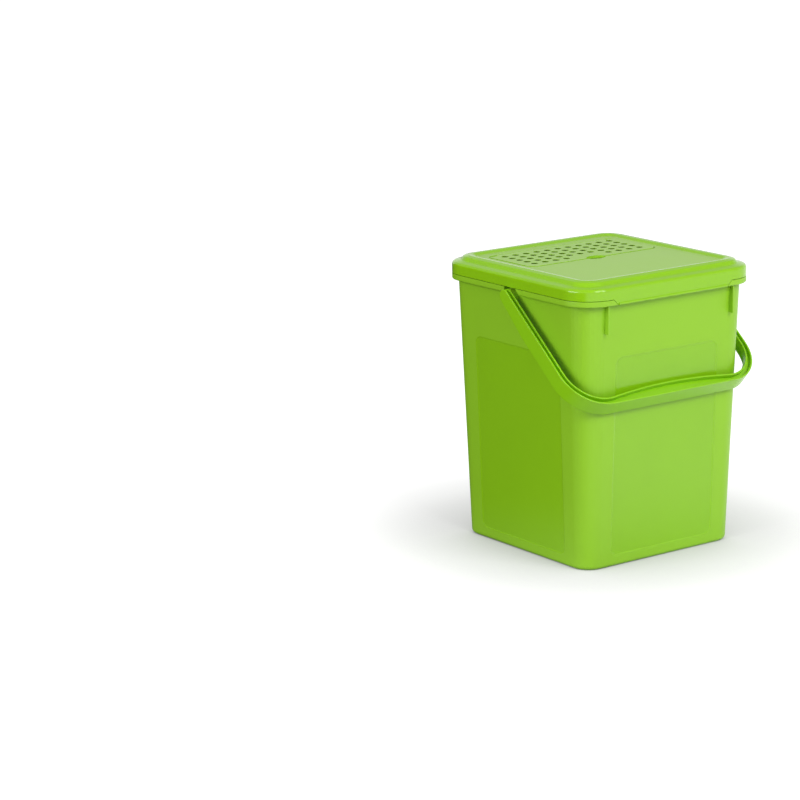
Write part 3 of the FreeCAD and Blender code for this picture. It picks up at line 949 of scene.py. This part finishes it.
def makeHandle(material):
    form = handleForm
    wall = form["wall"]
    outer = nodeBox("handle")[1].x
    inner = outer - form["thickness"]
    gripEdge = form["reach"] - form["gripWidth"]
    innerCorner = form["corner"] - form["thickness"]
    bm = bmesh.new()
    chains = [bailChain(bm, outer, form["reach"], form["corner"], 0),
              bailChain(bm, outer - wall, form["reach"] - wall, form["corner"] - wall, 0),
              bailChain(bm, inner + wall, gripEdge + wall, innerCorner + wall, form["gripBow"] - wall),
              bailChain(bm, inner, gripEdge, innerCorner, form["gripBow"])]
    strips = []
    for first, second in zip(chains, chains[1:]):
        strips.append(bmesh.ops.bridge_loops(bm, edges=first + second)["faces"])
    bmesh.ops.translate(bm, verts=bm.verts[:], vec=(0, 0, form["webLow"]))
    below = strips[0]
    centres = [[face.calc_center_median() for face in strip] for strip in strips]
    moved = extrude(bm, [face for strip in strips for face in strip], (0, 0, form["webThickness"]))
    outward(bm)

    # the outer strap and the inner rail rise from the web, and the strap also hangs below it
    def above(strip):
        spots = [spot.xy for spot in centres[strip]]
        return [face for face in moved
                if any((face.calc_center_median().xy - spot).length < form["near"] for spot in spots)]

    webTop = form["webLow"] + form["webThickness"]
    strapTop, railTop = above(0), above(2)
    extrude(bm, strapTop, (0, 0, form["endRadius"] - webTop))
    extrude(bm, railTop, (0, 0, form["endRadius"] - webTop))
    extrude(bm, below, (0, 0, -form["below"] - form["webLow"]))
    outward(bm)

    # the ends of the arms are round
    for vert in bm.verts:
        if vert.co.y > -form["near"]:
            limit = math.sqrt(form["endRadius"] ** 2 - vert.co.y ** 2)
            vert.co.z = max(-limit, min(limit, vert.co.z))
    softenCorners(bm, form["edgeRound"], segments=3, sharper=55)
    outward(bm)
    piece = asObject(bm, "bail_handle")
    end = rod(form["endRadius"] + form["endProud"], inner, inner + wall, 0, 0, form["endRound"],
              segments=40)
    pin = rod(form["pinRadius"], form["pinTip"], inner + wall, 0, 0, form["pinRound"])
    combine(piece, bothSides(end) + bothSides(pin), "UNION")
    pivot = axisOf["handle_swing"]
    piece.data.transform(Matrix.Translation(pivot) @ Matrix.Rotation(math.radians(form["hang"]), 4, "X"))
    finishPiece(piece, "handle", "handle", material)


# stage, light and camera

stageForm = {
    # the floor's pale and dim shares paint its light and shade, and the near glow with the shadow reach
    # paints its contact shadow
    "floorHalf": 12.0, "paleFloor": 0.9, "seenFloor": 0.42, "dimFloor": 0.08,
    "dimFrom": -0.35, "paleFrom": 0.25,
    "nearGlow": 0.6, "farGlow": 0.9, "nearReach": 0.16, "farReach": 0.34, "shadowReach": 0.12,
    "ambient": 0.46, "background": 1.0, "skyFrom": 0.2, "skyTo": 0.55,
    "cardPlace": (-1.0, 1.4, 0.52), "cardSize": (2.2, 0.76), "cardColour": (0.01, 0.02, 0.005, 1),
}
lampAim = Vector((0, 0, 0.15))
lamps = {
    "frontSoftbox": {"place": (0.2, -1.87, 1.66), "size": (1.5, 1.2), "power": 36.5},
    "sideSoftbox": {"place": (-2.2, 0.1, 0.9), "size": (1.4, 1.2), "power": 29.5},
}
cameraForm = {"place": (-1.70939, -2.02270, 0.77030), "yaw": 36.05, "pitch": 13.46, "roll": -0.861,
              "focalPixels": 2804.5, "framePixels": 800, "sensor": 36.0}


def cameraRay(shader):
    return shader.node("ShaderNodeLightPath", output="Is Camera Ray")


def mirrorRay(shader):
    # what shows in glossy and clear surfaces
    glossy = shader.node("ShaderNodeLightPath", output="Is Glossy Ray")
    through = shader.node("ShaderNodeLightPath", output="Is Transmission Ray")
    return shader.math("MAXIMUM", glossy, through)


def stagePlane(name, size, place):
    # flat sheet with a new material
    bm = bmesh.new()
    bmesh.ops.create_grid(bm, x_segments=1, y_segments=1, size=size, matrix=place)
    sheet = asObject(bm, name)
    material, shader = newShader(name)
    sheet.data.materials.append(material)
    return sheet, shader


def makeFloor():
    # pale to the camera, and to other rays painted light and shade: pale at the front right and dim at the
    # back left;
    # it glows to the camera and in reflections, less near the object, where ambient occlusion cuts the glow
    # as a painted contact shadow
    form = stageForm
    floor, shader = stagePlane("floor", form["floorHalf"], Matrix.Identity(4))
    seen = cameraRay(shader)
    mirrored = mirrorRay(shader)
    place = shader.place()
    x, y = shader.axes(place)[:2]
    # painted light and shade on the floor: lighter to the front right, darker to the back left
    lit = shader.softStep(x - y, form["dimFrom"], form["paleFrom"])
    full = form["paleFloor"] - (form["paleFloor"] - form["seenFloor"]) * (seen + mirrored)
    pale = form["dimFloor"] + (full - form["dimFloor"]) * shader.math("MAXIMUM", lit, seen)
    away = shader.node("ShaderNodeVectorMath", {"operation": "LENGTH"}, {0: place}, output="Value")
    far = shader.softStep(away, form["nearReach"], form["farReach"])
    # painted contact shadow: ambient occlusion lowers the glow near the object
    near = shader.node("ShaderNodeAmbientOcclusion", None, {"Distance": form["shadowReach"]}, output="AO")
    strength = form["nearGlow"] * near + (form["farGlow"] - form["nearGlow"]) * far
    glow = shader.node("ShaderNodeEmission", None, {"Strength": (seen + lit * mirrored) * strength})
    matt = shader.node("ShaderNodeBsdfDiffuse", None, {"Color": pale})
    shader.surface(shader.node("ShaderNodeAddShader", None, {0: matt, 1: glow}))


def makeCard():
    # dark card behind the left side for the deep reflections there; the camera looks through it
    form = stageForm
    width, height = form["cardSize"]
    face = Vector(form["cardPlace"]) * -1
    face.z = 0
    stand = Matrix.Translation(form["cardPlace"]) @ face.to_track_quat("Z", "Y").to_matrix().to_4x4()
    card, shader = stagePlane("darkCard", 1, stand @ Matrix.Diagonal((width / 2, height / 2, 1, 1)))
    dark = shader.node("ShaderNodeBsdfDiffuse", None, {"Color": form["cardColour"]})
    nothing = shader.node("ShaderNodeBsdfTransparent")
    shader.surface(shader.node("ShaderNodeMixShader", None, {0: cameraRay(shader), 1: dark, 2: nothing}))


def makeSky():
    # white near and below the horizon to the camera and in reflections, plain elsewhere
    form = stageForm
    world = bpy.data.worlds.new("studio")
    world.use_nodes = True
    scene.world = world
    sky = Shader(world.node_tree)
    height = sky.axes(sky.node("ShaderNodeTexCoord", output="Generated"))[2]
    low = 1 - sky.softStep(height, form["skyFrom"], form["skyTo"])
    shown = cameraRay(sky) + mirrorRay(sky)
    strength = form["ambient"] + (form["background"] - form["ambient"]) * shown * low
    air = sky.node("ShaderNodeBackground", None, {"Color": (1, 1, 1, 1), "Strength": strength})
    sky.node("ShaderNodeOutputWorld", None, {"Surface": air})


def makeLamps():
    for name, form in lamps.items():
        data = bpy.data.lights.new(name, "AREA")
        data.shape = "RECTANGLE"
        data.size, data.size_y = form["size"]
        data.energy = form["power"]
        lamp = bpy.data.objects.new(name, data)
        lamp.location = form["place"]
        lamp.rotation_euler = (lampAim - Vector(form["place"])).to_track_quat("-Z", "Y").to_euler()
        scene.collection.objects.link(lamp)


def makeCamera():
    form = cameraForm
    data = bpy.data.cameras.new("camera")
    data.sensor_width = form["sensor"]
    data.lens = form["focalPixels"] / form["framePixels"] * form["sensor"]
    camera = bpy.data.objects.new("camera", data)
    turn = Matrix.Rotation(-math.radians(form["yaw"]), 4, "Z")
    tilt = Matrix.Rotation(math.radians(90 - form["pitch"]), 4, "X")
    roll = Matrix.Rotation(math.radians(form["roll"]), 4, "Z")
    camera.matrix_world = Matrix.Translation(form["place"]) @ turn @ tilt @ roll
    scene.collection.objects.link(camera)
    scene.camera = camera


makeCamera()
makeFloor()
makeCard()
makeSky()
makeLamps()
scene.view_settings.view_transform = "Standard"
print("stage, lamps and camera ready")

limeLid = makeLime("limeLid", lidPlastic, lidPanel)
makeBucket()
makeLid(limeLid)
makeHatch(limeLid)
makePad()
makeHandle(makeLime("limeHandle", handlePlastic))
